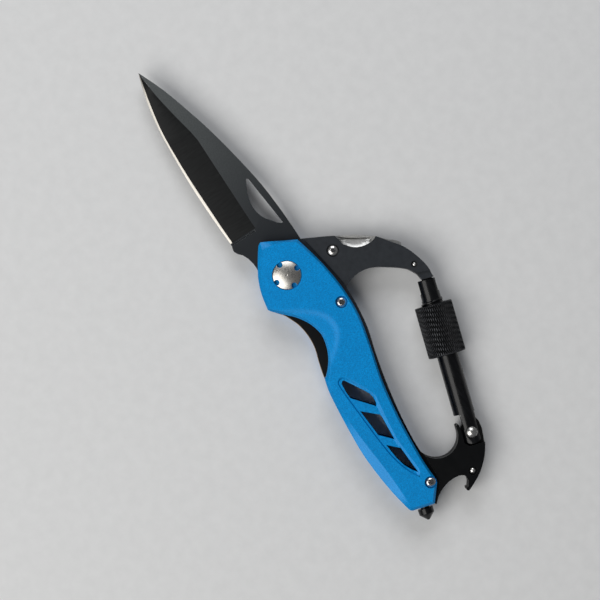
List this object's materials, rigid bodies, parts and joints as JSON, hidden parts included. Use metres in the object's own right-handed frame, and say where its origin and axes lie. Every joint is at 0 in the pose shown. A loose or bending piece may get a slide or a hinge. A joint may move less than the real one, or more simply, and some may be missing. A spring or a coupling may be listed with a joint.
{
  "type": "rigging knife",
  "caption": "Folding rigging knife with a locking blade, a carabiner hook with screw-sleeve gate, a bottle opener and a fold-out flat driver.",
  "frame": {"origin": "centre of the whole object's footprint, at the rear scale's outer face", "axes": "+Z through the thickness from the back to the front, +X along the open blade towards its tip, +Y towards the cutting edge"},
  "size_m": [0.1758, 0.0526, 0.0135],
  "materials": {
    "scale": "blue anodised, fine sparkle",
    "liner": "black satin coating, worn edges",
    "spacer": "matte black",
    "breaker": "gloss black oxide",
    "hardware": "polished",
    "washer": "phosphor bronze",
    "blade": "grey coated, bright cutting bevel",
    "tool_steel": "bead-blasted bright steel",
    "gate": "gloss black",
    "sleeve": "black anodised, knurled",
    "seal": "matte"
  },
  "bodies": {
    "handle": {"front_scale": "scale", "rear_scale": "scale", "front_liner": "liner", "rear_liner": "liner", "spine_strip": "spacer", "arm_spacer": "spacer", "hinge_spacer": "spacer", "breaker_block": "spacer", "glass_breaker": "breaker", "pivot_screw": "hardware", "pivot_barrel": "hardware", "pivot_washers": "washer", "stop_pin": "hardware", "front_screws": "hardware", "rear_screws": "hardware", "standoffs": "hardware", "tool_screw": "hardware", "tool_barrel": "hardware", "tool_washers": "washer", "arm_pin": "hardware", "opener_pin": "hardware", "gate_rivet": "hardware"},
    "blade": {"blade": "blade"},
    "lock_bar": {"lock_bar": "liner", "detent_ball": "hardware"},
    "driver": {"driver_tool": "tool_steel"},
    "gate": {"gate_rod": "gate", "gate_spring": "hardware", "gate_plunger": "hardware"},
    "seal": {"sleeve_seal": "seal"},
    "sleeve": {"sleeve": "sleeve"}
  },
  "joints": [
    {"name": "blade_pivot", "type": "hinge", "parent": "handle", "child": "blade", "pos_m": [0.00518, 0.01487, 0.0065], "axis": [0, 0, 1], "range_deg": [0, 174]},
    {"name": "lock_flex", "type": "hinge", "parent": "handle", "child": "lock_bar", "pos_m": [-0.03142, 0.01887, 0.0041], "axis": [0, 1, 0], "range_deg": [-4, 0], "stiffness_Nm_per_rad": 0.2},
    {"name": "driver_pivot", "type": "hinge", "parent": "handle", "child": "driver", "pos_m": [0.00383, -0.00223, 0.0065], "axis": [0, 0, 1], "range_deg": [0, 115]},
    {"name": "gate_hinge", "type": "hinge", "parent": "handle", "child": "gate", "pos_m": [-0.07102, -0.00798, 0.0065], "axis": [0, 0, 1], "range_deg": [0, 18], "stiffness_Nm_per_rad": 0.3},
    {"name": "sleeve_travel", "type": "slide", "parent": "gate", "child": "seal", "axis": [0.9558, -0.294, 0], "range_m": [0, 0.0105]},
    {"name": "sleeve_turn", "type": "hinge", "parent": "seal", "child": "sleeve", "pos_m": [-0.07087, -0.0075, 0.0065], "axis": [0.9558, -0.294, 0], "range_deg": [0, 2521]}
  ],
  "couplings": [
    {"joint": "sleeve_turn", "follows": "sleeve_travel", "rad_per_m": 4188.8}
  ]
}
